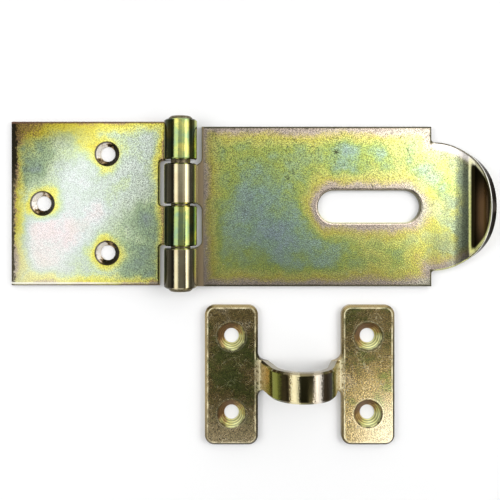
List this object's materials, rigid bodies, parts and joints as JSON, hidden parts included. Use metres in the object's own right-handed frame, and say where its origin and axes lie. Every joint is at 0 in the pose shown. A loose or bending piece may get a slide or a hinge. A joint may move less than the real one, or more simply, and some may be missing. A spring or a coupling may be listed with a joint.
{
  "type": "hinged hasp",
  "caption": "Hinged hasp of yellow-passivated sheet steel: a screw-on leaf and a slotted strap with a curled finger lip on one pin, with the arched staple it closes over.",
  "frame": {"origin": "on the back face that meets the door, straight below the hinge pin's axis, on the centre line of the strap", "axes": "+X along the hasp from the hinge to the finger lip, +Y along the hinge pin, +Z out of the front face"},
  "size_m": [0.1497, 0.102, 0.019],
  "materials": {
    "leaf_zinc": "yellow zinc passivation, pale and iridescent",
    "strap_zinc": "yellow zinc passivation, iridescent",
    "pin_zinc": "yellow zinc passivation",
    "staple_zinc": "yellow zinc passivation, darker and scratched"
  },
  "bodies": {
    "fixed": {"fixed_leaf": "leaf_zinc", "hinge_pin": "pin_zinc", "staple": "staple_zinc"},
    "strap": {"hasp_strap": "strap_zinc"}
  },
  "joints": [
    {"name": "strap_hinge", "type": "hinge", "parent": "fixed", "child": "strap", "pos_m": [0, 0.0008, 0.00508], "axis": [0, -1, 0], "range_deg": [-90, 180]}
  ]
}
